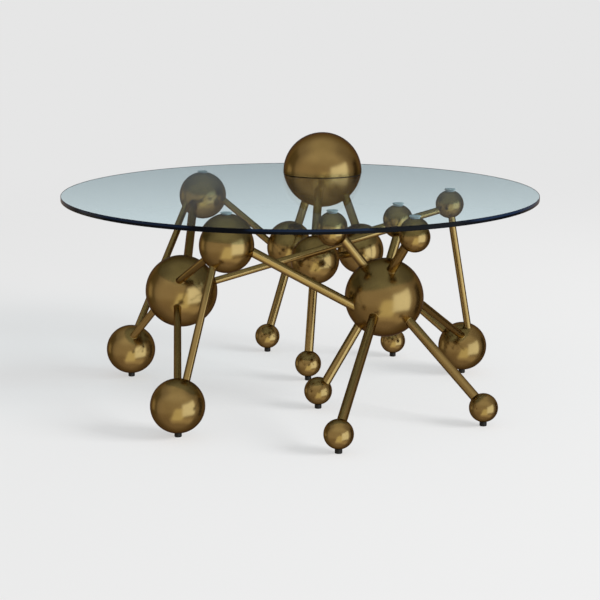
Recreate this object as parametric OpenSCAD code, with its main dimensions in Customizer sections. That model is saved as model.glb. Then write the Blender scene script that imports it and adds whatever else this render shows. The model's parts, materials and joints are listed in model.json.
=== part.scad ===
// Round glass coffee table on a base of brass balls joined by straight rods.
//
// Frame: the origin is on the floor under the middle of the table's whole plan,
// +X to the right, +Y to the back, +Z up. All sizes are in millimetres. Places
// below are measured from the centre of the glass, and set_in_frame moves the
// finished parts back to the origin.
//
// The balls are named by the work they do, counted from left to right:
//   hub    two large balls that most of the rods run to
//   link   three balls in the middle of the base, below the crown
//   perch  six balls that carry the glass on clear pads
//   foot   nine balls that stand on screw-in glides
//   crown  the ball that is split by the glass and clamps it

/* [Glass top] */
// Diameter of the glass
glass_d = 1000; // [920:10:1080]
// Thickness of the glass
glass_t = 10; // [8:0.5:12]
// Height of the glass's top face above the floor
table_h = 403; // [395:1:410]
// Width of the ground arris on the glass's edges
arris = 1; // [0.5:0.1:2]
// Diameter of the hole for the clamp post
glass_hole_d = 24; // [20:1:30]

/* [Ball sizes] */
// Radius of the small feet
small_r = 28; // [27:0.5:30]
// Radius of the small perches
perch_r = 30; // [28:0.5:31]
// Radius of the medium feet and the links
medium_r = 52; // [50:0.5:54]
// Radius of the two medium perches
upper_r = 54; // [52:0.5:56]
// Radius of the left hub
left_hub_r = 74.5; // [72:0.5:77]
// Radius of the right hub
right_hub_r = 79; // [76:0.5:82]
// Wall of the hollow balls
wall = 4; // [3:0.5:6]

/* [Crown] */
// Plan position of the crown: X, Y
crown_at = [51, 303]; // [-400:1:400]
// Radius of the crown
crown_r = 89.5; // [85:0.5:95]
// Height of the crown's centre above the glass's top face
crown_rise = 4; // [3:0.5:6]
// How far the gasket rings stand above and below the glass
gasket_t = 1; // [1:0.5:3]
// Width of the gasket rings
gasket_w = 14; // [8:1:20]
// Thickness of the plates that close the crown's two halves
crown_plate = 6; // [5:0.5:8]
// Radius of the clamp post
post_r = 5; // [4:0.5:6]

/* [Hubs and links] */
// Left hub: X, Y, Z
hub1_at = [-246, -92, 208]; // [-300:1:300]
// Right hub: X, Y, Z
hub2_at = [168, -216, 220]; // [-300:1:300]
// Left link: X, Y, Z
link1_at = [-24, 293, 233]; // [-300:1:300]
// Middle link: X, Y, Z
link2_at = [32, 26, 252]; // [-300:1:300]
// Right link: X, Y, Z
link3_at = [136, 211, 240]; // [-300:1:300]

/* [Perches] */
// Back left perch, medium: X, Y
perch1_at = [-226, 352]; // [-400:1:400]
// Front left perch, medium: X, Y
perch2_at = [-143, -284]; // [-400:1:400]
// Front middle perch, small: X, Y
perch3_at = [63, -255]; // [-400:1:400]
// Middle right perch, small: X, Y
perch4_at = [197, -160]; // [-400:1:400]
// Front right perch, small: X, Y
perch5_at = [220, -325]; // [-400:1:400]
// Far right perch, small: X, Y
perch6_at = [320, 50]; // [-400:1:400]
// Radius of the clear pads under the glass
pad_r = 11.5; // [9:0.5:13]
// How far a small perch's pad stands above its ball
small_pad_rise = 3; // [2:0.5:5]
// How far a medium perch's pad stands above its ball
medium_pad_rise = 2.5; // [2:0.5:5]

/* [Feet] */
// Left foot, medium: X, Y
foot1_at = [-364, 9]; // [-600:1:600]
// Front left foot, medium: X, Y
foot2_at = [-230, -452]; // [-600:1:600]
// Back foot, small: X, Y
foot3_at = [-75, 238]; // [-600:1:600]
// Middle foot, small: X, Y
foot4_at = [17, -25]; // [-600:1:600]
// Inner front foot, small: X, Y
foot5_at = [36, -251]; // [-600:1:600]
// Outer front foot, small: X, Y
foot6_at = [70, -558]; // [-600:1:600]
// Back right foot, small: X, Y
foot7_at = [210, 191]; // [-600:1:600]
// Right foot, medium: X, Y
foot8_at = [352, 39]; // [-600:1:600]
// Front right foot, small: X, Y
foot9_at = [353, -378]; // [-600:1:600]

/* [Glides] */
// Gap between a foot ball and the floor, glides screwed home
floor_gap = 8; // [6:0.5:14]
// Radius of a glide's pad
glide_r = 7; // [5:0.5:8]
// Radius of a glide's stud
stud_r = 4; // [3:0.5:5]
// Length of a glide's stud
stud_len = 18; // [14:1:22]

/* [Rods] */
// Radius of the thick rods
thick = 9.5; // [8:0.5:10]
// Radius of the thin rods
thin = 7.5; // [6:0.5:8]
// Depth of a rod's end below the surface of its ball
seat = 11; // [10:1:12]
// Clearance of every pin and rod in its bore
fit = 0.05; // [0.02:0.01:0.1]

/* [Hidden] */
brass = [0.53, 0.42, 0.24];
steel = [0.62, 0.63, 0.65];
black = [0.07, 0.07, 0.08];
clear = [0.72, 0.86, 0.92, 0.6];
tint = [0.66, 0.80, 0.84, 0.4];
overcut = 1;
fine = 96;
$fn = 64;

under_glass = table_h - glass_t;
// Foot 6 stands out beyond the front edge of the glass, so it sets the front of the plan
plan_front = foot6_at.y - small_r;
glass_y = -(glass_d / 2 + plan_front) / 2;
crown_z = table_h + crown_rise;
dome_base = table_h + gasket_t;
bowl_rim = under_glass - gasket_t;
gasket_r = crown_r - 3.5;

// Shallow ground seats in both faces of the glass that hold the gaskets
ground_depth = 0.5;
ground_r = crown_r + 1;

// Seat for a glide in the bottom of its ball
glide_seat_depth = 0.9;
glide_seat_z = floor_gap + glide_seat_depth;
glide_chamfer = 1;
stud_bore_depth = stud_len + 2;
boss_r = 12;

// Post that passes through the glass, and the threaded hub that it screws into
post_below = 24;
post_above = 22;
post_collar_r = 9;
post_collar_h = 3;
hub_boss_r = 16;
hub_boss_h = 24;

// Heights of the ball centres that follow from the floor or the glass
function foot_centre(at, r) = [at.x, at.y, floor_gap + r];
function perch_centre(at, r, rise) = [at.x, at.y, under_glass - rise - r];
function small_perch(at) = perch_centre(at, perch_r, small_pad_rise);
function medium_perch(at) = perch_centre(at, upper_r, medium_pad_rise);

// Balls: name, centre, radius. Balls over solid_limit are hollow.
solid_limit = 40;
BALLS = [
    ["hub1", hub1_at, left_hub_r],
    ["hub2", hub2_at, right_hub_r],
    ["link1", link1_at, medium_r],
    ["link2", link2_at, medium_r],
    ["link3", link3_at, medium_r],
    ["perch1", medium_perch(perch1_at), upper_r],
    ["perch2", medium_perch(perch2_at), upper_r],
    ["perch3", small_perch(perch3_at), perch_r],
    ["perch4", small_perch(perch4_at), perch_r],
    ["perch5", small_perch(perch5_at), perch_r],
    ["perch6", small_perch(perch6_at), perch_r],
    ["foot1", foot_centre(foot1_at, medium_r), medium_r],
    ["foot2", foot_centre(foot2_at, medium_r), medium_r],
    ["foot3", foot_centre(foot3_at, small_r), small_r],
    ["foot4", foot_centre(foot4_at, small_r), small_r],
    ["foot5", foot_centre(foot5_at, small_r), small_r],
    ["foot6", foot_centre(foot6_at, small_r), small_r],
    ["foot7", foot_centre(foot7_at, small_r), small_r],
    ["foot8", foot_centre(foot8_at, medium_r), medium_r],
    ["foot9", foot_centre(foot9_at, small_r), small_r],
];
CROWN = ["crown", [crown_at.x, crown_at.y, crown_z], crown_r];

// Rods: the two balls, the rod's radius, and how far the rod's axis is aimed
// off each ball's centre. An offset of centre makes that end radial.
centre = [0, 0, 0];
RODS = [
    ["perch1", "hub1", thick, [-19, 0, 2], [5, 0, 0]],
    ["perch1", "foot1", thin, [-25, 0, 11], [-4, 0, 2]],
    ["perch1", "link1", thin, [14, 3, 17], [-13, 0, -16]],
    ["perch2", "hub1", thin, [-9, -7, 0], [-30, -19, 2]],
    ["perch2", "foot2", thin, [-16, 2, 3], [5, 0, 0]],
    ["perch2", "hub2", thick, [7, -4, 11], [-16, -33, -36]],
    ["hub1", "foot1", thin, [-16, -3, 11], [-15, -14, 3]],
    ["hub1", "foot2", thin, [-8, -4, 9], [0, -1, 2]],
    ["hub1", "perch6", thin, [1, -15, 3], [2, 0, -6]],
    ["perch3", "hub2", thick, [5, 6, 5], [5, 8, 6]],
    ["perch4", "hub2", thick, [6, 0, -2], [-9, 0, 3]],
    ["perch5", "hub2", thick, [-5, 0, 3], [-13, 2, 8]],
    ["hub2", "foot9", thick, [2, -9, 9], [0, -3, 2]],
    ["hub2", "foot6", thick, [-6, -4, 10], [0, -4, 7]],
    ["hub2", "foot5", thick, [-13, 6, 6], [4, -8, 0]],
    ["hub2", "foot8", thin, [24, 3, 27], [17, -6, 8]],
    ["link3", "foot8", thin, [-8, 0, -9], centre],
    ["perch6", "foot8", thin, [0, -4, 0], [16, -22, 5]],
    ["crown", "link1", thick, [-13, 0, 4], [5, 0, -2]],
    ["crown", "link2", thick, [-5, 0, 0], [-2, 0, 0]],
    ["crown", "link3", thick, [26, 0, 9], [5, 0, 2]],
    ["link1", "foot3", thick, [7, 0, -2], centre],
    ["link2", "foot4", thick, centre, centre],
    ["link3", "foot7", thick, centre, centre],
    ["link2", "link3", thin, centre, [0, 0, -4]],
];

function ball_node(ball) = str("ball_", ball[0]);
function rod_node(rod) = str("rod_", rod[0], "_", rod[1]);
function glide_node(foot) = str("glide_", foot[0]);
function is_foot(ball) = ball[0][0] == "f";
function is_perch(ball) = ball[0][0] == "p";
FEET = [for (b = BALLS) if (is_foot(b)) b];
PERCHES = [for (b = BALLS) if (is_perch(b)) b];

// --- Geometry of a rod between two balls ---------------------------------

function ball_named(name) = name == "crown" ? CROWN : BALLS[search([name], BALLS)[0]];
function unit(v) = v / norm(v);
function rod_start(rod) = ball_named(rod[0])[1] + rod[3];
function rod_end(rod) = ball_named(rod[1])[1] + rod[4];
function rod_dir(rod) = unit(rod_end(rod) - rod_start(rod));

// Distance from point p along direction d to where the line leaves the ball
function leaves(p, d, ball) =
    let (to_centre = ball[1] - p, along = to_centre * d)
    along + sqrt(ball[2] * ball[2] - to_centre * to_centre + along * along);

// Ends of the rod's solid, each set back by seat from its ball's surface
function rod_tail(rod) =
    rod_start(rod) + rod_dir(rod) * (leaves(rod_start(rod), rod_dir(rod), ball_named(rod[0])) - seat);
function rod_head(rod) =
    rod_end(rod) - rod_dir(rod) * (leaves(rod_end(rod), -rod_dir(rod), ball_named(rod[1])) - seat);

// A sphere's surface has a seam at azimuth 0. Each ball is turned about its
// vertical axis so that its seam runs midway between its bores.
function azimuth(v) = atan2(v.y, v.x);
function bore_azimuths(ball) = concat(
    [for (rod = RODS) if (rod[0] == ball[0]) azimuth(rod_tail(rod) - ball[1])],
    [for (rod = RODS) if (rod[1] == ball[0]) azimuth(rod_head(rod) - ball[1])]
);
function angle_between(a, b) = let (d = abs(a - b) % 360) min(d, 360 - d);
function seam_gap(turn, azimuths) = min([for (a = azimuths) angle_between(turn, a)]);
SEAM_TURNS = [0:5:355];
function seam_turn(ball) =
    let (
        azimuths = bore_azimuths(ball),
        widest = max([for (turn = SEAM_TURNS) seam_gap(turn, azimuths)])
    )
    [for (turn = SEAM_TURNS) if (seam_gap(turn, azimuths) == widest) turn][0];

// Cylinder of radius r from point a to point b
module bar(a, b, r) {
    v = b - a;
    translate(a)
        rotate([0, acos(v.z / norm(v)), atan2(v.y, v.x)])
            cylinder(h = norm(v), r = r);
}

// Bores for every rod that ends in the ball, with clearance round the rod and past its end
module rod_bores(name) {
    for (rod = RODS) {
        d = rod_dir(rod);
        if (rod[0] == name)
            bar(rod_tail(rod) - d * fit, rod_tail(rod) + d * (seat + rod[2] * 3), rod[2] + fit);
        if (rod[1] == name)
            bar(rod_head(rod) + d * fit, rod_head(rod) - d * (seat + rod[2] * 3), rod[2] + fit);
    }
}

// --- Balls ------------------------------------------------------------------

// Hollow ball, or a solid one when it is small
module shell(r) {
    difference() {
        sphere(r = r, $fn = fine);
        if (r > solid_limit) sphere(r = r - wall, $fn = fine);
    }
}

// Boss inside a hollow foot ball that takes the glide's stud
module stud_boss(r) {
    intersection() {
        sphere(r = r - wall / 2, $fn = fine);
        translate([0, 0, -r]) cylinder(h = stud_bore_depth + wall, r = boss_r);
    }
}

// Seat and threaded hole for a glide, from the bottom of a ball
module glide_bore(foot) {
    translate([foot[1].x, foot[1].y, 0]) {
        cylinder(h = glide_seat_z, r = glide_r + fit);
        cylinder(h = glide_seat_z + stud_bore_depth, r = stud_r + fit);
    }
}

// Depth below a ball's top at which a flat is as wide as a glass pad
function pad_flat(r) = r - sqrt(r * r - pad_r * pad_r);
function pad_seat_z(perch) = perch[1].z + perch[2] - pad_flat(perch[2]);

module pad_flat_cut(perch) {
    translate([perch[1].x, perch[1].y, pad_seat_z(perch)])
        cylinder(h = pad_flat(perch[2]) + overcut, r = pad_r + overcut);
}

module ball(b) {
    color(brass) difference() {
        translate(b[1]) {
            rotate([0, 0, seam_turn(b)]) shell(b[2]);
            if (is_foot(b) && b[2] > solid_limit) stud_boss(b[2]);
        }
        rod_bores(b[0]);
        if (is_foot(b)) glide_bore(b);
        if (is_perch(b)) pad_flat_cut(b);
    }
}

// --- Rods and glides --------------------------------------------------------

module rod(r) {
    color(brass) bar(rod_tail(r), rod_head(r), r[2]);
}

// Turned glide: a pad with a chamfered foot and a plain stud above it
module glide(foot) {
    color(black)
        translate([foot[1].x, foot[1].y, 0])
            rotate_extrude()
                polygon([
                    [0, 0],
                    [glide_r - glide_chamfer, 0],
                    [glide_r, glide_chamfer],
                    [glide_r, glide_seat_z],
                    [stud_r, glide_seat_z],
                    [stud_r, glide_seat_z + stud_len],
                    [0, glide_seat_z + stud_len],
                ]);
}

// --- Glass and its pads -----------------------------------------------------

module at_crown(z) {
    translate([crown_at.x, crown_at.y, z]) children();
}

module glass_top() {
    r = glass_d / 2;
    color(tint) difference() {
        translate([0, 0, under_glass])
            rotate_extrude($fn = fine)
                polygon([
                    [0, 0],
                    [r - arris, 0],
                    [r, arris],
                    [r, glass_t - arris],
                    [r - arris, glass_t],
                    [0, glass_t],
                ]);
        at_crown(under_glass - overcut) cylinder(h = glass_t + 2 * overcut, d = glass_hole_d);
        at_crown(under_glass - overcut) cylinder(h = overcut + ground_depth, r = ground_r);
        at_crown(table_h - ground_depth) cylinder(h = ground_depth + overcut, r = ground_r);
    }
}

module glass_pads() {
    color(clear)
        for (p = PERCHES)
            translate([p[1].x, p[1].y, pad_seat_z(p)])
                cylinder(h = under_glass - pad_seat_z(p), r = pad_r);
}

// --- Crown ------------------------------------------------------------------

module ring(r, w, h) {
    difference() {
        cylinder(h = h, r = r, $fn = fine);
        translate([0, 0, -overcut]) cylinder(h = h + 2 * overcut, r = r - w, $fn = fine);
    }
}

module gasket_rings() {
    color(black) {
        at_crown(table_h - ground_depth) ring(gasket_r, gasket_w, gasket_t + ground_depth);
        at_crown(bowl_rim) ring(gasket_r - gasket_t, gasket_w, gasket_t + ground_depth);
    }
}

module crown_sphere(r) {
    at_crown(crown_z) sphere(r = r, $fn = fine);
}

// Slab as wide as the crown, from height low to height high
module crown_slab(low, high) {
    at_crown(low) cylinder(h = high - low, r = crown_r + overcut);
}

module crown_dome() {
    color(brass) difference() {
        union() {
            intersection() {
                difference() {
                    crown_sphere(crown_r);
                    crown_sphere(crown_r - wall);
                }
                crown_slab(dome_base, crown_z + crown_r + overcut);
            }
            intersection() {
                crown_sphere(crown_r - wall / 2);
                crown_slab(dome_base, dome_base + crown_plate);
            }
            at_crown(dome_base) cylinder(h = hub_boss_h, r = hub_boss_r);
        }
        at_crown(dome_base - overcut) cylinder(h = post_above + 2 * overcut + 2, r = post_r + fit);
    }
}

module crown_bowl() {
    color(brass) difference() {
        union() {
            intersection() {
                difference() {
                    crown_sphere(crown_r);
                    crown_sphere(crown_r - wall);
                }
                crown_slab(crown_z - crown_r - overcut, bowl_rim);
            }
            intersection() {
                crown_sphere(crown_r - wall / 2);
                crown_slab(bowl_rim - crown_plate, bowl_rim);
            }
            at_crown(bowl_rim - post_below - 2) cylinder(h = post_below + 2, r = hub_boss_r);
        }
        at_crown(bowl_rim - post_below) cylinder(h = post_below + overcut, r = post_r + fit);
        rod_bores("crown");
    }
}

// Threaded post with a collar that rests on the bowl
module clamp_post() {
    color(steel) {
        at_crown(bowl_rim - post_below)
            cylinder(h = post_below + dome_base - bowl_rim + post_above, r = post_r);
        at_crown(bowl_rim) cylinder(h = post_collar_h, r = post_collar_r);
    }
}

// --- Nodes ------------------------------------------------------------------

module set_in_frame() {
    translate([0, glass_y, 0]) children();
}

set_in_frame() glass_top();
set_in_frame() gasket_rings();
set_in_frame() glass_pads();
set_in_frame() crown_dome();
set_in_frame() crown_bowl();
set_in_frame() clamp_post();
for (b = BALLS) set_in_frame() ball(b);
for (r = RODS) set_in_frame() rod(r);
for (f = FEET) set_in_frame() glide(f);
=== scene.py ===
"""Looks of the round glass coffee table on a base of antique-brass balls and rods.

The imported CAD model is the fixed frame. This script gives each part its finish, swaps a few plain CAD
solids for finished ones of the same size, and adds the floor, the lights and the camera. Units are metres.
"""

from collections import namedtuple
import json
import math

import bmesh
import bpy
import numpy as np
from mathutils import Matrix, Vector


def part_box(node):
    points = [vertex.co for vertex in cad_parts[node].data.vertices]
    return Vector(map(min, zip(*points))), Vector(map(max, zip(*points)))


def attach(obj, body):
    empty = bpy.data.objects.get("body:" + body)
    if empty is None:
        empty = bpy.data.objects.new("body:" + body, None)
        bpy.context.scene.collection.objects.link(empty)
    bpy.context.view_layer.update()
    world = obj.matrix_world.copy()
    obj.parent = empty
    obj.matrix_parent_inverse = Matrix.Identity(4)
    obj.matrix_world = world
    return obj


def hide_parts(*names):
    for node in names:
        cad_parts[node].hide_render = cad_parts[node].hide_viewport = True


MM = 0.001
WHITE = (1.0, 1.0, 1.0)

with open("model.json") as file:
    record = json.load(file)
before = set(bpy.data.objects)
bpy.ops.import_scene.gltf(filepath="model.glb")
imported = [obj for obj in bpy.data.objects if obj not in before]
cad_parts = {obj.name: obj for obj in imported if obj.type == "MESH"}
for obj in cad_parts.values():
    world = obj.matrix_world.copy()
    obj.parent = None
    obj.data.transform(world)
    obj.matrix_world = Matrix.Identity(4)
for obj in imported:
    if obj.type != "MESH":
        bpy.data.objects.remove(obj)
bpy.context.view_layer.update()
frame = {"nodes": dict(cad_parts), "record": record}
nodes = frame["nodes"]
record = frame["record"]
glass_low, glass_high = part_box("glass_top")
glass_centre = (Vector(glass_low) + Vector(glass_high)) / 2


# --- Node helpers -------------------------------------------------------------

def new_material(name):
    """An empty node material and its node tree."""
    material = bpy.data.materials.new(name)
    material.use_nodes = True
    tree = material.node_tree
    tree.nodes.clear()
    return material, tree


def feed(tree, value, socket):
    """Gives an input its value: another node's output, a number, a vector, or a colour of three numbers."""
    if isinstance(value, bpy.types.NodeSocket):
        tree.links.new(value, socket)
    elif socket.type == "RGBA":
        socket.default_value = (*value, 1.0)
    else:
        socket.default_value = value


def add(tree, kind, **values):
    """A new node. A value goes to the input of its name, with _ for a space, or else to the property."""
    node = tree.nodes.new("ShaderNode" + kind)
    for key, value in values.items():
        name = key.replace("_", " ")
        if name in node.inputs:
            feed(tree, value, node.inputs[name])
        else:
            setattr(node, key, value)
    return node


def math_node(tree, operation, *values):
    """A math node. The values are outputs of other nodes or plain numbers. Returns its output."""
    node = add(tree, "Math", operation=operation)
    for socket, value in zip(node.inputs, values):
        feed(tree, value, socket)
    return node.outputs[0]


def smooth_step(tree, value, low, high):
    """0 at low and 1 at high, with a smooth change between. low may be the larger one."""
    node = add(tree, "MapRange", interpolation_type="SMOOTHSTEP", Value=value)
    feed(tree, min(low, high), node.inputs["From Min"])
    feed(tree, max(low, high), node.inputs["From Max"])
    if low > high:
        feed(tree, 1.0, node.inputs["To Min"])
        feed(tree, 0.0, node.inputs["To Max"])
    return node.outputs["Result"]


def mix_colour(tree, factor, a, b, blend="MIX"):
    """Mixes two colours. factor, a and b are outputs of other nodes or plain values. Returns its output."""
    node = add(tree, "Mix", data_type="RGBA", blend_type=blend)
    sockets = (node.inputs[0], node.inputs[6], node.inputs[7])
    for socket, value in zip(sockets, (factor, a, b)):
        feed(tree, value, socket)
    return node.outputs[2]


def mix_shader(tree, share, first, second):
    """Mixes two shaders. share is 0 for the first and 1 for the second. Returns its output."""
    node = add(tree, "MixShader")
    for socket, value in zip(node.inputs, (share, first, second)):
        feed(tree, value, socket)
    return node.outputs[0]


def ramp(tree, value, stops):
    """A smooth colour by value. stops are (value, colour) pairs in rising order."""
    low, high = stops[0][0], stops[-1][0]
    position = add(tree, "MapRange", Value=value, From_Min=low, From_Max=high)
    node = add(tree, "ValToRGB")
    elements = node.color_ramp.elements
    while len(elements) < len(stops):
        elements.new(0.5)
    for element, (at, colour) in zip(elements, stops):
        element.position = (at - low) / (high - low)
        element.color = (*colour, 1.0)
    feed(tree, position.outputs["Result"], node.inputs["Fac"])
    return node.outputs["Color"]


def noise(tree, scale, detail=2.0, roughness=0.5, stretch=(1, 1, 1)):
    """Noise in the object's own coordinates. Returns its value, from 0 to 1."""
    place = add(tree, "TexCoord").outputs["Object"]
    mapping = add(tree, "Mapping", Vector=place, Scale=stretch)
    texture = add(tree, "TexNoise", Scale=scale, Detail=detail, Roughness=roughness)
    feed(tree, mapping.outputs["Vector"], texture.inputs["Vector"])
    return texture.outputs["Fac"]


def add_bump(tree, shader, height, strength, distance):
    """Makes the shader's face look raised where height is high, by up to distance."""
    bump = add(tree, "Bump", Strength=strength, Distance=distance, Height=height)
    feed(tree, bump.outputs["Normal"], shader.inputs["Normal"])


def seen_in_brass(tree):
    """1 on a ray that has bounced off a polished face, so that it meets the room in place of the floor."""
    depth = add(tree, "LightPath").outputs["Glossy Depth"]
    return math_node(tree, "GREATER_THAN", depth, 0.5)


# --- Materials ------------------------------------------------------------------
#
# A noise pattern is its scale per metre, detail and roughness. A bump is its strength and its height.
# Two values named FROM_TO are where a smooth step starts and ends.

# Antique brass: two clouded tones, dark pits, fine brushing, and painted shade that darkens the rim where
# the face turns away
BRASS_WARM = (0.325, 0.234, 0.090)
BRASS_DULL = (0.275, 0.196, 0.073)
BRASS_CLOUDS = (9.0, 4.0, 0.6)
BRASS_CLOUDS_FROM_TO = (0.35, 0.70)
BRASS_PIT = (0.09, 0.06, 0.03)
BRASS_PITS = (420.0, 1.0, 0.4)
BRASS_PITS_FROM_TO = (0.70, 0.76)
BRASS_PITS_SHARE = 0.35
# Painted shade: the colour darkens towards the rim, where the face turns away from the view
BRASS_RIM_PAINTED_SHADE = (0.050, 0.034, 0.012)
BRASS_RIM_SHADE_BLEND = 0.35
BRASS_RIM_SHADE_FROM_TO = (0.55, 1.0)
BRASS_RIM_SHADE_SHARE = 0.65
BRASS_SPECULAR = (0.35, 0.25, 0.15)
BRASS_ROUGHNESS = 0.16
BRASS_ROUGHER_CLOUDS = 0.10
BRASS_BRUSHING = (260.0, 2.0, 0.5)
BRASS_BRUSHING_BUMP = (0.06, 0.4 * MM)
LACQUER_WEIGHT = 0.25
LACQUER_ROUGHNESS = 0.20
# Painted shade: the lower half of the crown has darker tones, so that it looks darker through the glass
BOWL_PAINTED_SHADE = 0.62

# Clear glass with a blue-grey body and a ground rim painted dark as painted shade
GLASS_IOR = 1.5
# The body of the glass absorbs, per metre, the density times what the tint lacks of white
GLASS_TINT = (0.02, 0.57, 0.72)
GLASS_DENSITY = 24.0
# Share of light that each face mirrors towards the near and the far side, and how flat the view of it is
# there, from 0 for square on to 1 for edge-on
GLASS_MIRROR_NEAR = 0.05
GLASS_MIRROR_FAR = 0.57
GLASS_FACING_BLEND = 0.5
GLASS_FACING_NEAR = 0.843
GLASS_FACING_FAR = 0.887
# Wiping smears that blur the glass a little, and a film of dust
GLASS_SMEARS = (5.0, 5.0, 0.65)
GLASS_SMEARS_FROM_TO = (0.5, 0.8)
GLASS_HAZE = 0.012
GLASS_DUST = 0.006
# How much light each face lets through when the brass reflects the glass, and into its soft shadow
GLASS_SHADE = (0.82, 0.82, 0.81)
GLASS_SHADOW = (0.975, 0.985, 0.990)
# Painted shade: the rim is painted nearly black, with navy patches along its upper half, in place of light
# absorbed along the edge of the glass
RIM_PAINTED_SHADE_BLACK = (0.002, 0.003, 0.005)
RIM_PAINTED_SHADE_NAVY = (0.008, 0.017, 0.041)
RIM_PATCHES = (4.5, 1.0)
RIM_PATCHES_FROM_TO = (0.46, 0.50)
RIM_UPPER_FROM_TO = (-0.8 * MM, 0.8 * MM)
RIM_ROUGHNESS = 0.12
RIM_SPECULAR = 0.06
# A face turns from glass into rim as the upright share of its normal falls through this range
RIM_UPRIGHT_FROM_TO = (0.9, 0.6)

# Clear pads: a soft cloudy plastic between two tones, with a fine moulded skin
PAD_CLOUDS = (60.0, 2.0)
PAD_TONES = ((0.70, 0.71, 0.70), (0.80, 0.81, 0.80))
PAD_IOR = 1.45
PAD_CLEAR = 0.45
PAD_ROUGHNESS = 0.5
PAD_ROUGHER_CLOUDS = 0.15
PAD_SKIN = 900.0
PAD_SKIN_BUMP = (0.15, 0.2 * MM)

# Black rubber and nylon: a fine moulded grain, with scuffs that are lighter and rougher
RUBBER_BLACK = (0.010, 0.009, 0.008)
RUBBER_ROUGHNESS = 0.60
NYLON_BLACK = (0.006, 0.006, 0.006)
NYLON_ROUGHNESS = 0.45
PLASTIC_SPECULAR = 0.25
SCUFFS = (120.0, 4.0, 0.7)
SCUFFS_FROM_TO = (0.55, 0.75)
SCUFFS_LIGHTER = 2.2
SCUFFS_ROUGHER = 0.2
PLASTIC_GRAIN = (1400.0, 3.0)
PLASTIC_GRAIN_BUMP = (0.3, 0.2 * MM)

# Turned steel: the noise changes quickly along the axis and slowly across it, so it makes rings
STEEL_TONES = ((0.42, 0.42, 0.43), (0.60, 0.60, 0.61))
STEEL_RINGS = (900.0, 2.0, 0.5)
STEEL_RINGS_STRETCH = (0.02, 0.02, 1.0)
STEEL_RINGS_BUMP = (0.2, 0.1 * MM)
STEEL_ROUGHNESS = 0.22
STEEL_ROUGHER_RINGS = 0.2


def antique_brass(name, painted_shade=1.0):
    """Satin antique brass under lacquer. Its second argument, below 1, darkens its two tones as painted
    shade.
    """
    material, tree = new_material(name)
    # Painted shade: a value below 1 darkens both tones
    warm = tuple(painted_shade * c for c in BRASS_WARM)
    dull = tuple(painted_shade * c for c in BRASS_DULL)
    clouds = noise(tree, *BRASS_CLOUDS)
    body = mix_colour(tree, smooth_step(tree, clouds, *BRASS_CLOUDS_FROM_TO), warm, dull)
    pits = smooth_step(tree, noise(tree, *BRASS_PITS), *BRASS_PITS_FROM_TO)
    body = mix_colour(tree, math_node(tree, "MULTIPLY", pits, BRASS_PITS_SHARE), body, BRASS_PIT)
    # Painted shade: the colour darkens towards the rim, where the face turns away from the view
    facing = add(tree, "LayerWeight", Blend=BRASS_RIM_SHADE_BLEND).outputs["Facing"]
    rim = smooth_step(tree, facing, *BRASS_RIM_SHADE_FROM_TO)
    body = mix_colour(tree, math_node(tree, "MULTIPLY", rim, BRASS_RIM_SHADE_SHARE), body, BRASS_RIM_PAINTED_SHADE)
    shader = add(
        tree, "BsdfPrincipled",
        Metallic=1.0,
        Base_Color=body,
        Specular_Tint=BRASS_SPECULAR,
        Roughness=math_node(tree, "MULTIPLY_ADD", clouds, BRASS_ROUGHER_CLOUDS, BRASS_ROUGHNESS),
        Coat_Weight=LACQUER_WEIGHT,
        Coat_Roughness=LACQUER_ROUGHNESS,
    )
    add_bump(tree, shader, noise(tree, *BRASS_BRUSHING), *BRASS_BRUSHING_BUMP)
    add(tree, "OutputMaterial", Surface=shader.outputs[0])
    return material


def glass_face(tree):
    """A clear face: refraction, and a mirror that grows as the view gets flatter, under a film of dust."""
    smears = smooth_step(tree, noise(tree, *GLASS_SMEARS), *GLASS_SMEARS_FROM_TO)
    haze = math_node(tree, "MULTIPLY", smears, GLASS_HAZE)
    passed = mix_colour(tree, seen_in_brass(tree), WHITE, GLASS_SHADE)
    through = add(tree, "BsdfRefraction", IOR=GLASS_IOR, Color=passed, Roughness=haze)
    mirror = add(tree, "BsdfGlossy", Color=WHITE, Roughness=haze)
    facing = add(tree, "LayerWeight", Blend=GLASS_FACING_BLEND).outputs["Facing"]
    grazing = add(tree, "MapRange", Value=facing, From_Min=GLASS_FACING_NEAR, From_Max=GLASS_FACING_FAR)
    gain = GLASS_MIRROR_FAR - GLASS_MIRROR_NEAR
    share = math_node(tree, "MULTIPLY_ADD", grazing.outputs["Result"], gain, GLASS_MIRROR_NEAR)
    clean = mix_shader(tree, share, through.outputs[0], mirror.outputs[0])
    film = add(tree, "BsdfDiffuse", Color=WHITE)
    return mix_shader(tree, GLASS_DUST, clean, film.outputs[0])


def glass_rim(tree):
    """The ground rim, painted as shade: nearly black with navy patches along its upper half."""
    position = add(tree, "NewGeometry").outputs["Position"]
    place = add(tree, "SeparateXYZ", Vector=position)
    height = math_node(tree, "SUBTRACT", place.outputs["Z"], glass_centre.z)
    upper = smooth_step(tree, height, *RIM_UPPER_FROM_TO)
    patch = smooth_step(tree, noise(tree, *RIM_PATCHES), *RIM_PATCHES_FROM_TO)
    # Painted shade: nearly black, and navy in patches along the upper half
    navy_shade = math_node(tree, "MULTIPLY", upper, patch)
    colour = mix_colour(tree, navy_shade, RIM_PAINTED_SHADE_BLACK, RIM_PAINTED_SHADE_NAVY)
    shader = add(tree, "BsdfPrincipled", Base_Color=colour, Roughness=RIM_ROUGHNESS)
    feed(tree, RIM_SPECULAR, shader.inputs["Specular IOR Level"])
    return shader.outputs[0]


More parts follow.
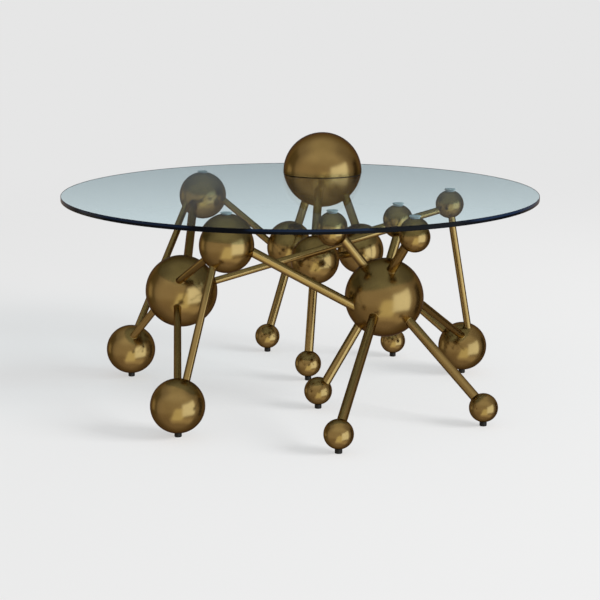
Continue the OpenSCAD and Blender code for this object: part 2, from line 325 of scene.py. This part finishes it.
def tinted_glass():
    """Clear float glass with a blue-grey body and a rim painted dark as painted shade, whose shadow lets
    light through.
    """
    material, tree = new_material("tinted_glass")
    normal = add(tree, "NewGeometry").outputs["True Normal"]
    upright = add(tree, "SeparateXYZ", Vector=normal).outputs["Z"]
    on_rim = smooth_step(tree, math_node(tree, "ABSOLUTE", upright), *RIM_UPRIGHT_FROM_TO)
    glass = mix_shader(tree, on_rim, glass_face(tree), glass_rim(tree))
    clear = add(tree, "BsdfTransparent", Color=GLASS_SHADOW)
    path = add(tree, "LightPath")
    soft_ray = math_node(tree, "MAXIMUM", path.outputs["Is Shadow Ray"], path.outputs["Is Diffuse Ray"])
    surface = mix_shader(tree, soft_ray, glass, clear.outputs[0])
    body = add(tree, "VolumeAbsorption", Color=GLASS_TINT, Density=GLASS_DENSITY)
    add(tree, "OutputMaterial", Surface=surface, Volume=body.outputs[0])
    return material


def clear_pad():
    """Cloudy clear soft plastic with a fine moulded skin."""
    material, tree = new_material("clear_pad")
    clouds = noise(tree, *PAD_CLOUDS)
    shader = add(
        tree, "BsdfPrincipled",
        Base_Color=mix_colour(tree, clouds, *PAD_TONES),
        IOR=PAD_IOR,
        Transmission_Weight=PAD_CLEAR,
        Roughness=math_node(tree, "MULTIPLY_ADD", clouds, PAD_ROUGHER_CLOUDS, PAD_ROUGHNESS),
    )
    add_bump(tree, shader, noise(tree, PAD_SKIN), *PAD_SKIN_BUMP)
    add(tree, "OutputMaterial", Surface=shader.outputs[0])
    return material


def black_plastic(name, colour, roughness):
    """Black moulded nylon or rubber with a fine grain and scuffs."""
    material, tree = new_material(name)
    scuffs = smooth_step(tree, noise(tree, *SCUFFS), *SCUFFS_FROM_TO)
    worn = tuple(SCUFFS_LIGHTER * c for c in colour)
    shader = add(
        tree, "BsdfPrincipled",
        Base_Color=mix_colour(tree, scuffs, colour, worn),
        Roughness=math_node(tree, "MULTIPLY_ADD", scuffs, SCUFFS_ROUGHER, roughness),
    )
    feed(tree, PLASTIC_SPECULAR, shader.inputs["Specular IOR Level"])
    add_bump(tree, shader, noise(tree, *PLASTIC_GRAIN), *PLASTIC_GRAIN_BUMP)
    add(tree, "OutputMaterial", Surface=shader.outputs[0])
    return material


def turned_steel():
    """Turned steel with fine rings round its axis."""
    material, tree = new_material("turned_steel")
    rings = noise(tree, *STEEL_RINGS, stretch=STEEL_RINGS_STRETCH)
    shader = add(
        tree, "BsdfPrincipled",
        Metallic=1.0,
        Base_Color=mix_colour(tree, rings, *STEEL_TONES),
        Roughness=math_node(tree, "MULTIPLY_ADD", rings, STEEL_ROUGHER_RINGS, STEEL_ROUGHNESS),
    )
    add_bump(tree, shader, rings, *STEEL_RINGS_BUMP)
    add(tree, "OutputMaterial", Surface=shader.outputs[0])
    return material


FINISHES = {
    "brass": antique_brass("antique_brass"),
    "glass": tinted_glass(),
    "clear_pad": clear_pad(),
    "gasket": black_plastic("gasket_rubber", RUBBER_BLACK, RUBBER_ROUGHNESS),
    "glide": black_plastic("glide_nylon", NYLON_BLACK, NYLON_ROUGHNESS),
    "post": turned_steel(),
}
# The bowl's brass, darkened as painted shade
BOWL_SHADED_BRASS = antique_brass("antique_brass_bowl_painted_shade", BOWL_PAINTED_SHADE)


def finish_cad_nodes():
    """Gives every CAD node the material of its slot in the record, and the bowl its brass darkened with
    painted shade.
    """
    for part in record["subparts"]:
        materials = nodes[part["node"]].data.materials
        materials.clear()
        materials.append(FINISHES[part["material_slot"]])
    nodes["crown_bowl"].data.materials[0] = BOWL_SHADED_BRASS


# --- Finished pieces: shared shapes -----------------------------------------------

TURNS = 64
ROUND_STEPS = 5
THREAD_STEPS = 8
# Length over which a thread fades out, in pitches, and how much steeper than a plain V its flanks are
THREAD_RUN_OUT = 1.2
THREAD_FLANK = 1.25
SHARP_ANGLE = math.radians(38)


def points_of(node):
    """The corners of a CAD node's mesh at rest, as an array of rows."""
    mesh = nodes[node].data
    flat = np.zeros(len(mesh.vertices) * 3)
    mesh.vertices.foreach_get("co", flat)
    return flat.reshape(-1, 3)


def box_of(points):
    return points.min(axis=0), points.max(axis=0)


def mesh_piece(name, shape, slot, body, *replaced):
    """A smooth piece from (verts, faces) that rides on a body and may stand for CAD nodes."""
    verts, faces = shape
    mesh = bpy.data.meshes.new(name)
    mesh.from_pydata([tuple(v) for v in verts], [], faces)
    bm = bmesh.new()
    bm.from_mesh(mesh)
    bmesh.ops.recalc_face_normals(bm, faces=bm.faces)
    bm.to_mesh(mesh)
    bm.free()
    mesh.shade_smooth()
    mesh.set_sharp_from_angle(angle=SHARP_ANGLE)
    mesh.materials.append(FINISHES[slot])
    piece = bpy.data.objects.new(name, mesh)
    bpy.context.scene.collection.objects.link(piece)
    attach(piece, body)
    if replaced:
        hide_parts(*replaced)


def lathe(profile, centre, wave=None):
    """A closed turned solid, as (verts, faces).

    profile runs from the axis at the bottom to the axis at the top, as (radius, height) pairs. wave(height,
    angle) is added to the radius of the points between those two.
    """
    verts = [(centre[0], centre[1], profile[0][1])]
    for radius, height in profile[1:-1]:
        for step in range(TURNS):
            angle = 2 * math.pi * step / TURNS
            r = radius + (wave(height, angle) if wave else 0.0)
            verts.append((centre[0] + r * math.cos(angle), centre[1] + r * math.sin(angle), height))
    verts.append((centre[0], centre[1], profile[-1][1]))
    rows = len(profile) - 2
    top = len(verts) - 1
    faces = []
    for step in range(TURNS):
        beside = (step + 1) % TURNS
        faces.append((0, 1 + beside, 1 + step))
        for row in range(rows - 1):
            low = 1 + row * TURNS
            high = low + TURNS
            faces.append((low + step, low + beside, high + beside, high + step))
        last = 1 + (rows - 1) * TURNS
        faces.append((last + step, last + beside, top))
    return verts, faces


def lower_round(radius, height, size):
    """Profile points of a rounded lower corner, which turns up from the height into the side."""
    angles = [math.pi / 2 * (step / ROUND_STEPS - 1) for step in range(ROUND_STEPS + 1)]
    return [(radius - size + size * math.cos(a), height + size + size * math.sin(a)) for a in angles]


def upper_round(radius, height, size):
    """Profile points of a rounded upper corner, which turns in from the side to the height."""
    angles = [math.pi / 2 * step / ROUND_STEPS for step in range(ROUND_STEPS + 1)]
    return [(radius - size + size * math.cos(a), height - size + size * math.sin(a)) for a in angles]


def heights(low, high, step):
    """Evenly spaced heights from low to high."""
    count = max(2, round((high - low) / step))
    return [low + (high - low) * i / count for i in range(count + 1)]


def thread(low, high, pitch, depth):
    """wave for lathe: a right-hand V thread between two heights that fades out at both ends."""
    run_out = THREAD_RUN_OUT * pitch

    def wave(height, angle):
        if not low < height < high:
            return 0.0
        phase = ((height - low) / pitch - angle / (2 * math.pi)) % 1.0
        groove = 1.0 - abs(2.0 * phase - 1.0)
        fade = min(1.0, (height - low) / run_out, (high - height) / run_out)
        return -depth * fade * min(1.0, groove * THREAD_FLANK)

    return wave


def join(parts):
    """Several (verts, faces) shapes as one."""
    verts, faces = [], []
    for more_verts, more_faces in parts:
        start = len(verts)
        verts.extend(more_verts)
        faces.extend(tuple(start + i for i in face) for face in more_faces)
    return verts, faces


# --- Finished pieces: pads, post and glides ---------------------------------------

PADS = 6
# A pad's corners lie within this distance of its ball's axis
PAD_SEARCH = 20 * MM
# The head's height and the rounding of its edge, as shares of the pad's height
PAD_HEAD = 0.42
PAD_EDGE = 0.14
# The neck's width, as a share of the pad's
PAD_NECK = 0.80
# In roundings: the flare of the foot, as (out from the neck, up from the foot), then the hollow under the
# head, as (out from the neck, down from the head), and the rounding of the head's lower rim
PAD_FOOT_FLARE = ((1.0, 0.0), (0.3, 0.3), (0.0, 1.0))
PAD_HEAD_HOLLOW = ((0.0, 0.5), (0.2, 0.1), (0.6, 0.0))
PAD_LOWER_EDGE = 0.5

# Corners beyond this share of the full radius belong to the post's collar, or to the glide's pad
COLLAR_REACH = 0.9
SOLE_REACH = 0.98
# Corners within this distance of the top belong to the bar or the stud
TIP_SEARCH = 1 * MM
POST_BEVEL = 0.8 * MM
POST_PITCH = 1.5 * MM
POST_DEPTH = 0.75 * MM

GLIDES = 9
SOLE_ROUND = 1.2 * MM
SHOULDER_ROUND = 0.48 * MM
SOLE_HOLLOW = 0.4 * MM
# The sole's hollow and its rim, as shares of the glide's radius
SOLE_HOLLOW_R = 0.51
SOLE_RIM_R = 0.595
STUD_PITCH = 1.25 * MM
STUD_DEPTH = 0.6 * MM
STUD_FILLET = 0.3 * MM
STUD_BEVEL = 0.8 * MM
# Plain lengths of the stud below and above its thread
STUD_PLAIN_LOW = 0.6 * MM
STUD_PLAIN_HIGH = 0.9 * MM


def pad_profile(low, high, radius):
    """A pad's outline between two heights: a flared foot on the ball's flat, a neck and a rounded head."""
    tall = high - low
    head = high - PAD_HEAD * tall
    neck = radius * PAD_NECK
    edge = PAD_EDGE * tall
    foot = [(neck + out * edge, low + up * edge) for out, up in PAD_FOOT_FLARE]
    hollow = [(neck + out * edge, head - down * edge) for out, down in PAD_HEAD_HOLLOW]
    rim = lower_round(radius, head, PAD_LOWER_EDGE * edge) + upper_round(radius, high, edge)
    return [(0, low), *foot, *hollow, *rim, (0, high)]


def moulded_pads():
    """The six clear pads between the perch balls and the glass."""
    corners = points_of("glass_pads")
    parts = []
    for index in range(1, PADS + 1):
        low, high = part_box("ball_perch%d" % index)
        middle = (np.array(low) + np.array(high)) / 2
        near = np.hypot(*(corners - middle)[:, :2].T) < PAD_SEARCH
        low, high = box_of(corners[near])
        centre = (low + high) / 2
        radius = (high[0] - low[0]) / 2
        parts.append(lathe(pad_profile(low[2], high[2], radius), centre))
    mesh_piece("moulded_pads", join(parts), "clear_pad", "base", "glass_pads")


def threaded_post():
    """The clamp post: a threaded bar with a turned collar that rests on the bowl."""
    corners = points_of("clamp_post")
    low, high = box_of(corners)
    centre = (low + high) / 2
    bottom, top = low[2], high[2]
    from_axis = np.hypot(*(corners - centre)[:, :2].T)
    collar_r = from_axis.max()
    collar_low, collar_high = box_of(corners[from_axis > collar_r * COLLAR_REACH][:, 2])
    bar_r = from_axis[corners[:, 2] > top - TIP_SEARCH].max()
    bevel = POST_BEVEL
    step = POST_PITCH / THREAD_STEPS
    bar_below = [(bar_r, z) for z in heights(bottom + 2 * bevel, collar_low - bevel, step)]
    bar_above = [(bar_r, z) for z in heights(collar_high + bevel, top - 2 * bevel, step)]
    profile = [(0, bottom), (bar_r - bevel, bottom), (bar_r, bottom + bevel), *bar_below]
    profile += [(bar_r, collar_low), *lower_round(collar_r, collar_low, bevel / 2)]
    profile += [*upper_round(collar_r, collar_high, bevel), (bar_r + bevel / 2, collar_high)]
    profile += [(bar_r, collar_high + bevel / 2), *bar_above]
    profile += [(bar_r, top - bevel), (bar_r - bevel, top), (0, top)]
    below = thread(bottom + bevel, collar_low - bevel / 2, POST_PITCH, POST_DEPTH)
    above = thread(collar_high + bevel, top - bevel, POST_PITCH, POST_DEPTH)
    post = lathe(profile, centre, lambda height, angle: below(height, angle) + above(height, angle))
    mesh_piece("threaded_post", post, "post", "base", "clamp_post")


def screw_glide(node):
    """A glide: a moulded pad with a hollow sole and rounded rims, and a threaded stud."""
    corners = points_of(node)
    low, high = box_of(corners)
    centre = (low + high) / 2
    top = high[2]
    from_axis = np.hypot(*(corners - centre)[:, :2].T)
    pad_r = from_axis.max()
    shoulder = corners[from_axis > pad_r * SOLE_REACH][:, 2].max()
    stud_r = from_axis[corners[:, 2] > top - TIP_SEARCH].max()
    step = STUD_PITCH / THREAD_STEPS
    bar = [(stud_r, z) for z in heights(shoulder + 2 * SHOULDER_ROUND, top - 2 * STUD_BEVEL, step)]
    profile = [(0, SOLE_HOLLOW), (SOLE_HOLLOW_R * pad_r, SOLE_HOLLOW), (SOLE_RIM_R * pad_r, 0.0)]
    profile += lower_round(pad_r, 0.0, SOLE_ROUND) + upper_round(pad_r, shoulder, SHOULDER_ROUND)
    profile += [(stud_r + STUD_FILLET, shoulder), (stud_r, shoulder + STUD_FILLET), *bar]
    profile += [(stud_r, top - STUD_BEVEL), (stud_r - STUD_BEVEL, top), (0, top)]
    wave = thread(shoulder + STUD_PLAIN_LOW, top - STUD_PLAIN_HIGH, STUD_PITCH, STUD_DEPTH)
    return lathe(profile, centre, wave)


def screw_glides():
    """The nine glides, each on its own body."""
    for index in range(1, GLIDES + 1):
        node = "glide_foot%d" % index
        mesh_piece("screw_glide%d" % index, screw_glide(node), "glide", "glide%d" % index, node)


# --- Finished pieces: braze fillets -----------------------------------------------

BRAZE = 0.7 * MM
# How far the fillet's hidden sides go into the rod and the ball
BRAZE_SUNK = 0.3 * MM
BRAZE_STEPS = 4
# In fillet sizes: how far its top stands off the rod, and how far out its hidden skirt goes
BRAZE_LIFT = 0.02
BRAZE_SKIRT = 0.9
# An axis that is more upright than this takes its sides from +X, and any other from +Z
BRAZE_UPRIGHT = 0.9
# How hard the face is pulled into the corner between rod and ball, up to 1
BRAZE_PULL = 0.8
# How far a corner may be from the sphere that is fitted to a ball, in the first fit and the second
SKIN_SLACKS = (1.5 * MM, 0.3 * MM)


def sphere_of(name):
    """(centre, radius) of a ball, fitted to the corners of its outer surface."""
    node = "crown_dome" if name == "crown" else "ball_" + name
    corners = points_of(node)
    low, high = box_of(corners)
    centre = (low + high) / 2
    radius = (high[0] - low[0]) / 2
    if name == "crown":
        centre[2] = high[2] - radius
    for slack in SKIN_SLACKS:
        on_skin = abs(np.linalg.norm(corners - centre, axis=1) - radius) < slack
        skin = corners[on_skin]
        system = np.column_stack([2 * skin, np.ones(len(skin))])
        solved = np.linalg.lstsq(system, (skin ** 2).sum(axis=1), rcond=None)[0]
        centre = solved[:3]
        radius = math.sqrt(solved[3] + centre @ centre)
    return centre, radius


def rod_of(node):
    """(one end, other end, radius) of a rod, from the rings at its ends."""
    corners = points_of(node)
    middle = corners.mean(axis=0)
    axis = np.linalg.svd(corners - middle)[2][0]
    along = (corners - middle) @ axis
    tail = corners[along < 0].mean(axis=0)
    head = corners[along > 0].mean(axis=0)
    axis = (head - tail) / np.linalg.norm(head - tail)
    out = corners - tail - np.outer((corners - tail) @ axis, axis)
    return tail, head, np.linalg.norm(out, axis=1).max()


def on_ball(point, axis, centre, radius):
    """Where the line through point along axis enters a ball."""
    offset = point - centre
    along = offset @ axis
    depth = math.sqrt(max(0.0, along ** 2 - offset @ offset + radius ** 2))
    return point - axis * (along + depth)


def bend(start, corner, end, share):
    """A point on the curve from start to end that corner pulls on. share is how far along it lies."""
    rest = 1 - share
    return rest ** 2 * start + 2 * share * rest * corner + share ** 2 * end


def fillet_section(foot, out, axis, rod_r, centre, ball_r):
    """One cut through a fillet, on the side of the rod that out points to, as a closed row of points."""
    root = on_ball(foot + out * rod_r, axis, centre, ball_r)
    up = root - axis * BRAZE
    across = on_ball(foot + out * (rod_r + BRAZE), axis, centre, ball_r)
    corner = root * BRAZE_PULL + (up + across) * (1 - BRAZE_PULL) / 2
    face = [bend(up, corner, across, part / BRAZE_STEPS) for part in range(1, BRAZE_STEPS)]
    in_ball = ball_r - BRAZE_SUNK
    under_rod = on_ball(foot + out * (rod_r - BRAZE_SUNK), axis, centre, in_ball)
    skirt = on_ball(foot + out * (rod_r + BRAZE * BRAZE_SKIRT), axis, centre, in_ball)
    return [under_rod, up - out * BRAZE_SUNK, up + out * BRAZE * BRAZE_LIFT, *face, across, skirt]


def fillet_ring(foot, axis, rod_r, centre, ball_r):
    """A hollow-faced ring of braze where a rod, running along axis to its foot in a ball, enters it."""
    side = np.cross(axis, (0, 0, 1) if abs(axis[2]) < BRAZE_UPRIGHT else (1, 0, 0))
    side /= np.linalg.norm(side)
    other = np.cross(axis, side)
    verts = []
    for step in range(TURNS):
        angle = 2 * math.pi * step / TURNS
        out = side * math.cos(angle) + other * math.sin(angle)
        verts += fillet_section(foot, out, axis, rod_r, centre, ball_r)
    count = len(verts) // TURNS
    faces = []
    for step in range(TURNS):
        beside = (step + 1) % TURNS
        for i in range(count):
            j = (i + 1) % count
            faces.append((step * count + i, beside * count + i, beside * count + j, step * count + j))
    return verts, faces


def braze_fillets():
    """A fine braze fillet wherever a rod enters a ball. A rod is named by the two balls that it joins."""
    parts = []
    for node in sorted(nodes):
        if not node.startswith("rod_"):
            continue
        tail, head, radius = rod_of(node)
        first, second = [sphere_of(name) for name in node.split("_")[1:]]
        if np.linalg.norm(tail - first[0]) > np.linalg.norm(head - first[0]):
            tail, head = head, tail
        axis = (head - tail) / np.linalg.norm(head - tail)
        parts.append(fillet_ring(head, axis, radius, *second))
        parts.append(fillet_ring(tail, -axis, radius, *first))
    mesh_piece("braze_fillets", join(parts), "brass", "base")


# --- Stage ------------------------------------------------------------------------

FLOOR_RADIUS = 9.0
FLOOR_CORNERS = 96
# The floor fades into the backdrop between these distances from its middle
FLOOR_FADE_FROM_TO = (1.2, 3.8)
FLOOR_TONES = ((0.858, 0.858, 0.858), (0.870, 0.870, 0.870))
FLOOR_GRAIN = (1.2, 3.0)
FLOOR_GLOW = (0.865, 0.865, 0.865)
FLOOR_GLOW_SHARE = 0.60


def floor_material():
    """A pale matt floor that fades out. It glows a little, which keeps the shadows light."""
    material, tree = new_material("pale_floor")
    grain = noise(tree, *FLOOR_GRAIN)
    matt = add(tree, "BsdfDiffuse", Roughness=0.0, Color=mix_colour(tree, grain, *FLOOR_TONES))
    glow = add(tree, "Emission", Color=FLOOR_GLOW, Strength=1.0)
    lit = mix_shader(tree, FLOOR_GLOW_SHARE, matt.outputs[0], glow.outputs[0])
    place = add(tree, "TexCoord").outputs["Object"]
    distance = add(tree, "VectorMath", operation="LENGTH", Vector=place)
    faded = smooth_step(tree, distance.outputs["Value"], *FLOOR_FADE_FROM_TO)
    gone = math_node(tree, "MAXIMUM", faded, seen_in_brass(tree))
    nothing = add(tree, "BsdfTransparent")
    add(tree, "OutputMaterial", Surface=mix_shader(tree, gone, lit, nothing.outputs[0]))
    return material


def pale_floor():
    """The round flat floor under the table."""
    bm = bmesh.new()
    bmesh.ops.create_circle(bm, cap_ends=True, radius=FLOOR_RADIUS, segments=FLOOR_CORNERS)
    mesh = bpy.data.meshes.new("floor")
    bm.to_mesh(mesh)
    bm.free()
    mesh.materials.append(floor_material())
    floor = bpy.data.objects.new("floor", mesh)
    bpy.context.scene.collection.objects.link(floor)


# The room that the brass reflects. Directions are in degrees: elevation from the horizon, and azimuth from
# the camera's side, to the right. First its radiance by elevation.
ROOM = (
    (-90, (0.46, 0.36, 0.28)),
    (-45, (0.40, 0.31, 0.23)),
    (-25, (0.48, 0.38, 0.28)),
    (-12, (0.64, 0.54, 0.43)),
    (5, (0.64, 0.54, 0.43)),
    (22, (0.64, 0.55, 0.44)),
    (38, (0.80, 0.72, 0.60)),
    (50, (0.85, 0.77, 0.65)),
    (90, (0.64, 0.58, 0.46)),
)
# To either side it darkens between these azimuths, by this much
BACK_FROM_TO = (62, 115)
BACK_SHADE = (0.52, 0.50, 0.50)
# Above this elevation, each degree up counts as this many degrees of azimuth towards the dark
BACK_CLIMB_START = 10
BACK_CLIMB = 0.7
# Right behind, it is darker still
FAR_BACK_FROM_TO = (135, 165)
FAR_BACK_SHADE = (0.92, 0.92, 0.95)
# Both shades fade out towards the zenith and the nadir
ZENITH_FROM_TO = (80, 45)
NADIR_FROM_TO = (-120, -40)
# What diffuse light and the camera see in place of the room
FILL = (0.500, 0.502, 0.500)
BACKDROP = (0.791, 0.791, 0.791)

# A soft box is a patch of the room between two azimuths and two elevations, with a soft edge of some width.
# Its sides lean about one elevation and its top and bottom about one azimuth, by degrees per degree.
SIDE_LEAN_ABOUT = -25
TOP_LEAN_ABOUT = 50
Box = namedtuple("Box", "left right low high side_lean top_lean edge radiance")
BOXES = (
    # A dark wall to the left, and a glow on it
    Box(-132, -92, -26, 34, 0, 0, 10, (0.20, 0.16, 0.10)),
    Box(-126, -105, -14, 6, 0, 0, 8, (0.70, 0.60, 0.47)),
    # Lit floor in front, and the brighter patch that the window throws on it
    Box(-36, 86, -61, -38, 0, 0, 14, (0.80, 0.67, 0.52)),
    Box(-18, 36, -47, 2, 0.5, 0, 8, (1.30, 1.20, 0.86)),
    # The window, and a dark wall to its right
    Box(24, 80, -29, 19.8, 0, 0.12, 7, (1.85, 1.92, 1.95)),
    Box(104, 127, -30, 15, 0, 0, 8, (0.07, 0.05, 0.035)),
    # Something dark right behind the table, in two halves where the azimuth turns over
    Box(165, 195, -4, 8.8, 0, 0, 3.4, (0.13, 0.15, 0.16)),
    Box(-195, -165, -4, 8.8, 0, 0, 3.4, (0.13, 0.15, 0.16)),
)


def inside_box(tree, azimuth, elevation, box):
    """1 inside a soft box and 0 outside it."""
    if box.side_lean:
        lean = math_node(tree, "MULTIPLY_ADD", elevation, -box.side_lean, SIDE_LEAN_ABOUT * box.side_lean)
        azimuth = math_node(tree, "ADD", azimuth, lean)
    if box.top_lean:
        lean = math_node(tree, "MULTIPLY_ADD", azimuth, -box.top_lean, TOP_LEAN_ABOUT * box.top_lean)
        elevation = math_node(tree, "ADD", elevation, lean)
    half = box.edge / 2
    inside = smooth_step(tree, elevation, box.low - half, box.low + half)
    for step in (
        smooth_step(tree, elevation, box.high + half, box.high - half),
        smooth_step(tree, azimuth, box.left - half, box.left + half),
        smooth_step(tree, azimuth, box.right + half, box.right - half),
    ):
        inside = math_node(tree, "MULTIPLY", inside, step)
    return inside


def shade(tree, colour, factor, tint):
    """The colour multiplied by tint, as far as factor goes."""
    return mix_colour(tree, factor, colour, mix_colour(tree, 1.0, colour, tint, "MULTIPLY"))


def room_colour(tree):
    """Radiance of the room in the direction of the ray."""
    direction = add(tree, "TexCoord").outputs["Generated"]
    x, y, z = add(tree, "SeparateXYZ", Vector=direction).outputs
    degrees = math.degrees(1.0)
    toward = math_node(tree, "MULTIPLY", y, -1.0)
    azimuth = math_node(tree, "MULTIPLY", math_node(tree, "ARCTAN2", x, toward), degrees)
    elevation = math_node(tree, "MULTIPLY", math_node(tree, "ARCSINE", z), degrees)
    aside = math_node(tree, "ABSOLUTE", azimuth)
    above = math_node(tree, "MAXIMUM", math_node(tree, "SUBTRACT", elevation, BACK_CLIMB_START), 0.0)
    climbed = math_node(tree, "ADD", aside, math_node(tree, "MULTIPLY", above, BACK_CLIMB))
    below_zenith = smooth_step(tree, elevation, *ZENITH_FROM_TO)
    level = math_node(tree, "MULTIPLY", below_zenith, smooth_step(tree, elevation, *NADIR_FROM_TO))
    back = math_node(tree, "MULTIPLY", smooth_step(tree, climbed, *BACK_FROM_TO), level)
    far_back = math_node(tree, "MULTIPLY", smooth_step(tree, aside, *FAR_BACK_FROM_TO), level)
    room = ramp(tree, elevation, ROOM)
    room = shade(tree, room, back, BACK_SHADE)
    room = shade(tree, room, far_back, FAR_BACK_SHADE)
    for box in BOXES:
        room = mix_colour(tree, inside_box(tree, azimuth, elevation, box), room, box.radiance)
    return room


def studio_world():
    """Soft even light. The camera sees a plain backdrop, and reflections see a dim room with a window."""
    world = bpy.data.worlds.new("studio")
    bpy.context.scene.world = world
    world.use_nodes = True
    world.cycles.sampling_method = "NONE"
    tree = world.node_tree
    tree.nodes.clear()
    path = add(tree, "LightPath")
    seen = mix_colour(tree, seen_in_brass(tree), BACKDROP, room_colour(tree))
    seen = mix_colour(tree, path.outputs["Is Diffuse Ray"], seen, FILL)
    background = add(tree, "Background", Color=seen, Strength=1.0)
    add(tree, "OutputWorld", Surface=background.outputs[0])


# The window's light stands higher and further to the right than the window that the brass mirrors, so that
# the shadows fall to the left and stay short
WINDOW_AZIMUTH = math.radians(69)
WINDOW_HEIGHT = 4.5
WINDOW_DISTANCE = 9.0
WINDOW_WIDTH = 4.5
WINDOW_TALL = 3.6
WINDOW_RADIANCE = 19.5
WINDOW_AIM_HEIGHT = 0.2


def window_light():
    """The light that throws the shadows. Nothing mirrors it."""
    aim = Vector((glass_centre.x, glass_centre.y, WINDOW_AIM_HEIGHT))
    data = bpy.data.lights.new("window", "AREA")
    data.shape = "RECTANGLE"
    data.size = WINDOW_WIDTH
    data.size_y = WINDOW_TALL
    data.energy = WINDOW_RADIANCE * math.pi * WINDOW_WIDTH * WINDOW_TALL
    light = bpy.data.objects.new("window", data)
    light.location = (
        glass_centre.x + math.sin(WINDOW_AZIMUTH) * WINDOW_DISTANCE,
        glass_centre.y - math.cos(WINDOW_AZIMUTH) * WINDOW_DISTANCE,
        WINDOW_HEIGHT,
    )
    light.rotation_euler = (aim - light.location).to_track_quat("-Z", "Y").to_euler()
    light.visible_glossy = False
    light.visible_transmission = False
    bpy.context.scene.collection.objects.link(light)


CAMERA_SENSOR_MM = 36.0
CAMERA_LENS_MM = 98.26
CAMERA_REACH = 50.0
# From the middle of the glass to the left and to the front, and up from the floor
CAMERA_LEFT = 0.0003
CAMERA_FRONT = 3.4237
CAMERA_HEIGHT = 0.8778
CAMERA_TILT = math.radians(11.69)


def camera():
    """A long lens in front of the table and a little above it, tilted down."""
    data = bpy.data.cameras.new("camera")
    data.sensor_width = CAMERA_SENSOR_MM
    data.lens = CAMERA_LENS_MM
    data.clip_end = CAMERA_REACH
    view = bpy.data.objects.new("camera", data)
    view.location = (glass_centre.x - CAMERA_LEFT, glass_centre.y - CAMERA_FRONT, CAMERA_HEIGHT)
    view.rotation_euler = (math.pi / 2 - CAMERA_TILT, 0.0, 0.0)
    bpy.context.scene.collection.objects.link(view)
    bpy.context.scene.camera = view


finish_cad_nodes()
moulded_pads()
threaded_post()
screw_glides()
braze_fillets()
pale_floor()
studio_world()
window_light()
camera()
bpy.context.scene.view_settings.view_transform = "Standard"
